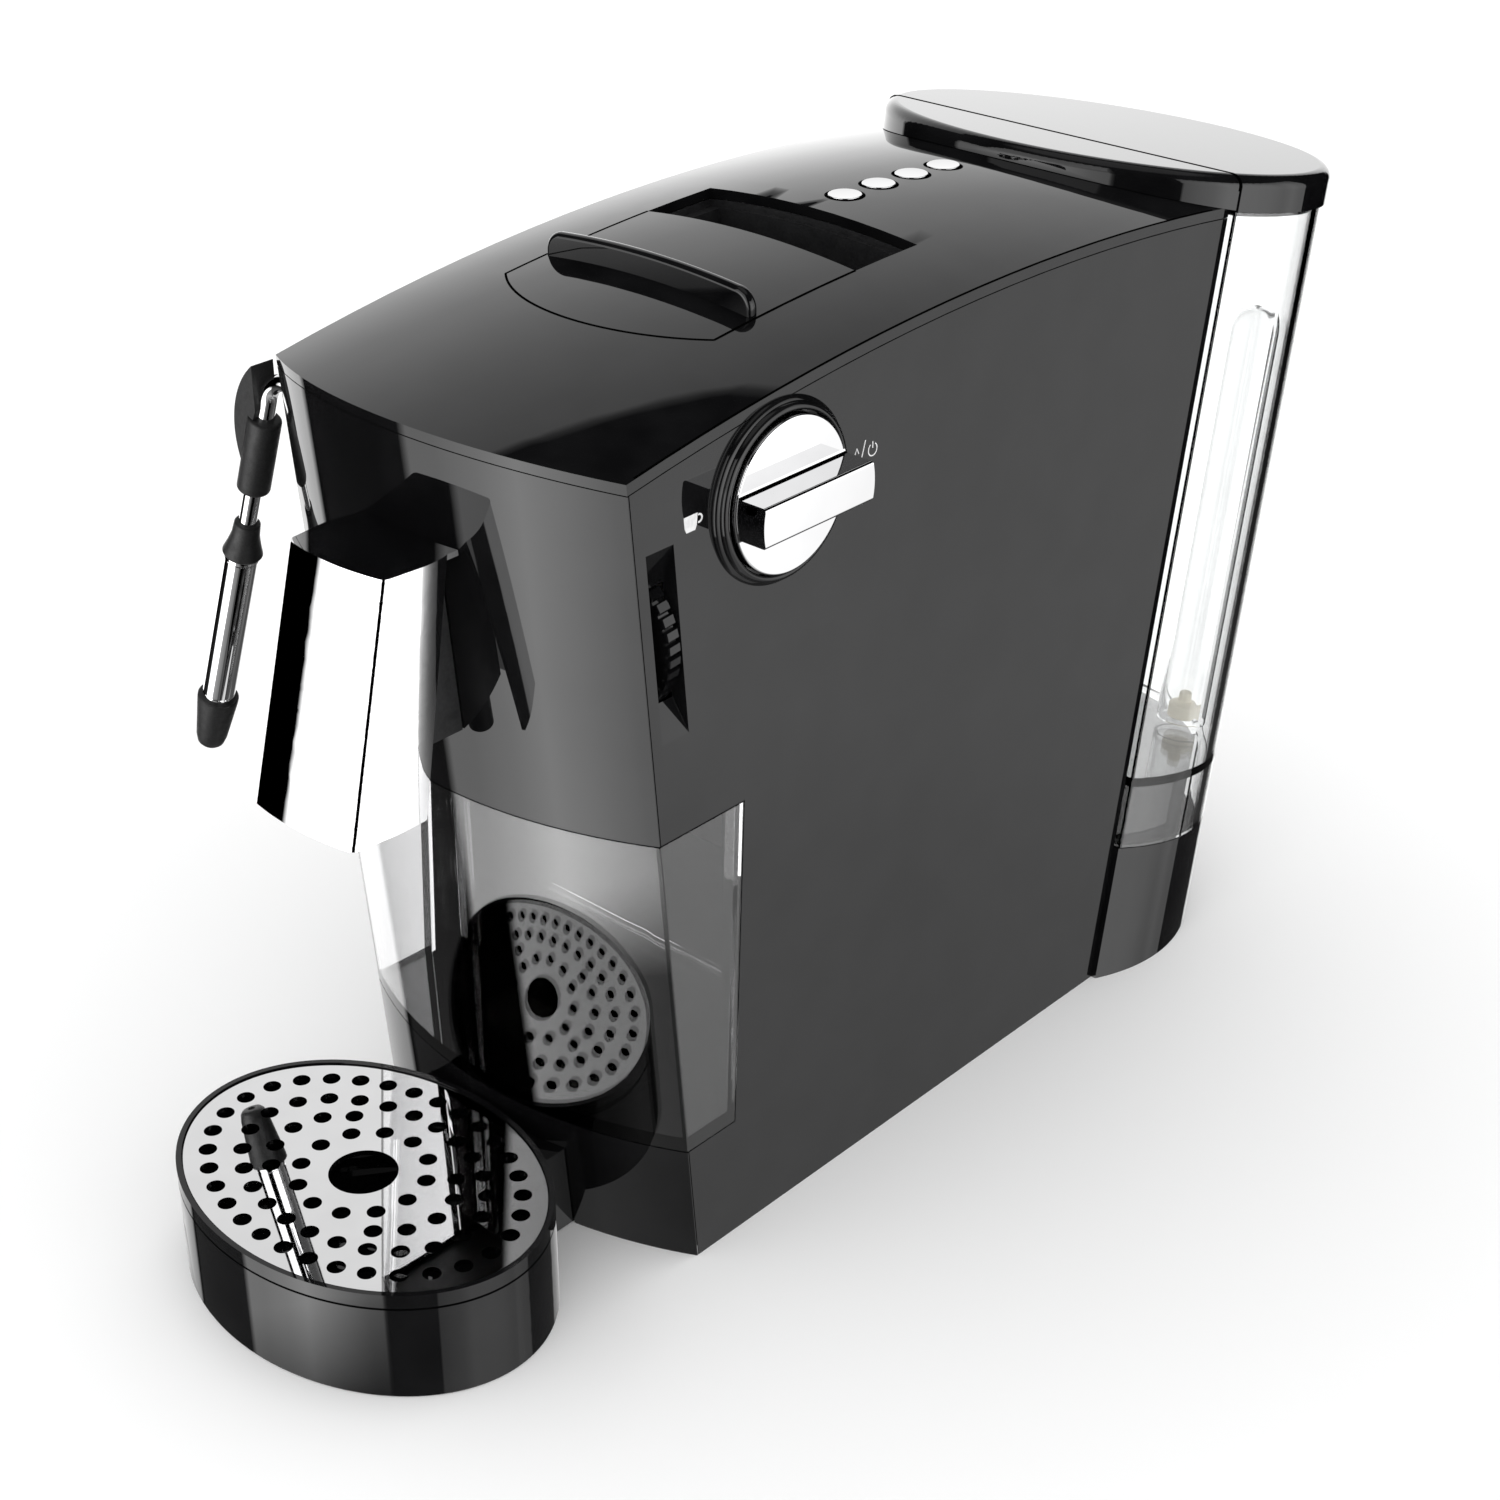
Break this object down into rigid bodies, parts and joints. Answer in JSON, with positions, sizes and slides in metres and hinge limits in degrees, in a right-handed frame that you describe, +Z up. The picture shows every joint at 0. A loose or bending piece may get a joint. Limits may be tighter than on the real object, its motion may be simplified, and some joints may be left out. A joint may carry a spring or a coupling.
{
  "type": "pod coffee machine",
  "caption": "Pod coffee machine with a sliding capsule door, selector knob, steam wand, clear capsule bin, round drip tray and clear lidded water tank at the back.",
  "frame": {"origin": "middle of the housing's underside, on the floor", "axes": "+Z up; the front with spout and tray faces -Y; the selector knob is on +X, the steam wand on -X"},
  "size_m": [0.1998, 0.4201, 0.2599],
  "materials": {
    "gloss_black": "mirror-gloss black",
    "matt_black": "matt black moulding",
    "chrome": "bright chrome",
    "clear_bin": "clear, slightly smoky",
    "clear_tank": "clear",
    "black_rubber": "matt black",
    "steel": "drawn steel",
    "aluminium": "cast",
    "white_plastic": "natural",
    "board": "green laminate",
    "hose": "translucent silicone"
  },
  "bodies": {
    "housing": {"base_pan": "gloss_black", "foot_pads": "black_rubber", "base_screws": "steel", "right_side_panel": "gloss_black", "left_side_panel": "gloss_black", "front_panel": "gloss_black", "top_cover": "gloss_black", "rear_wall": "matt_black", "tank_dock": "gloss_black", "valve_seat": "matt_black", "power_inlet": "black_rubber", "lid_front_cap": "gloss_black", "inner_frame": "matt_black", "capsule_chute": "matt_black", "brew_unit": "white_plastic", "injection_head": "steel", "extraction_plate": "steel", "outlet_pipe": "steel", "spout_body": "matt_black", "spout_cover": "chrome", "coffee_nozzle": "matt_black", "control_board": "board", "tact_switches": "matt_black", "knob_ring": "gloss_black", "selector_switch": "matt_black", "steam_valve": "white_plastic", "wand_bushing": "matt_black", "thermoblock": "aluminium", "pump": "steel", "pump_mounts": "black_rubber", "flow_meter": "white_plastic", "suction_hose": "hose", "pump_hose": "hose", "pressure_hose": "hose", "brew_pipe": "steel", "steam_pipe": "steel", "wand_pipe": "steel"},
    "slider": {"slider_plate": "gloss_black", "slider_grip": "gloss_black"},
    "knob": {"mode_knob": "chrome", "knob_shaft": "steel"},
    "wheel": {"steam_wheel": "gloss_black"},
    "wand": {"wand_tube": "chrome", "wand_grip": "black_rubber", "wand_collar": "black_rubber", "froth_sleeve": "chrome", "wand_tip": "black_rubber", "wand_tab": "black_rubber"},
    "button_one": {"button_1": "chrome"},
    "button_two": {"button_2": "chrome"},
    "button_three": {"button_3": "chrome"},
    "button_four": {"button_4": "chrome"},
    "bin": {"capsule_bin": "clear_bin"},
    "tray": {"drip_tray": "gloss_black"},
    "grate": {"tray_grate": "chrome"},
    "tank": {"water_tank": "clear_tank", "tank_valve": "white_plastic", "valve_spring": "steel"},
    "lid": {"tank_lid": "gloss_black"}
  },
  "joints": [
    {"name": "capsule_slide", "type": "hinge", "parent": "housing", "child": "slider", "pos_m": [0, 0.033, -0.558], "axis": [-1, 0, 0], "range_deg": [0, 1.7]},
    {"name": "mode_turn", "type": "hinge", "parent": "housing", "child": "knob", "pos_m": [0.0625, -0.0603, 0.2184], "axis": [1, 0, 0], "range_deg": [-45, 45]},
    {"name": "steam_turn", "type": "hinge", "parent": "housing", "child": "wheel", "pos_m": [0.0395, -0.10014, 0.1894], "axis": [0, 0.9963, 0.0857], "range_deg": [-150, 150]},
    {"name": "wand_swing", "type": "hinge", "parent": "housing", "child": "wand", "pos_m": [-0.0625, -0.1055, 0.225], "axis": [-1, 0, 0], "range_deg": [-20, 60]},
    {"name": "press_one", "type": "slide", "parent": "housing", "child": "button_one", "axis": [0, 0, -1], "range_m": [0, 0.001], "stiffness_N_per_m": 800, "springref_m": -0.0005},
    {"name": "press_two", "type": "slide", "parent": "housing", "child": "button_two", "axis": [0, 0, -1], "range_m": [0, 0.001], "stiffness_N_per_m": 800, "springref_m": -0.0005},
    {"name": "press_three", "type": "slide", "parent": "housing", "child": "button_three", "axis": [0, 0, -1], "range_m": [0, 0.001], "stiffness_N_per_m": 800, "springref_m": -0.0005},
    {"name": "press_four", "type": "slide", "parent": "housing", "child": "button_four", "axis": [0, 0, -1], "range_m": [0, 0.001], "stiffness_N_per_m": 800, "springref_m": -0.0005},
    {"name": "bin_pull", "type": "slide", "parent": "housing", "child": "bin", "axis": [0, -1, 0], "range_m": [0, 0.12]},
    {"name": "tray_pull", "type": "slide", "parent": "housing", "child": "tray", "axis": [0, -1, 0], "range_m": [0, 0.13]},
    {"name": "grate_lift", "type": "slide", "parent": "tray", "child": "grate", "axis": [0, 0, 1], "range_m": [0, 0.03]},
    {"name": "tank_lift", "type": "slide", "parent": "housing", "child": "tank", "axis": [0, 0.1714, 0.9852], "range_m": [0, 0.08]},
    {"name": "lid_lift", "type": "slide", "parent": "tank", "child": "lid", "axis": [0, 0.1714, 0.9852], "range_m": [0, 0.03]}
  ]
}
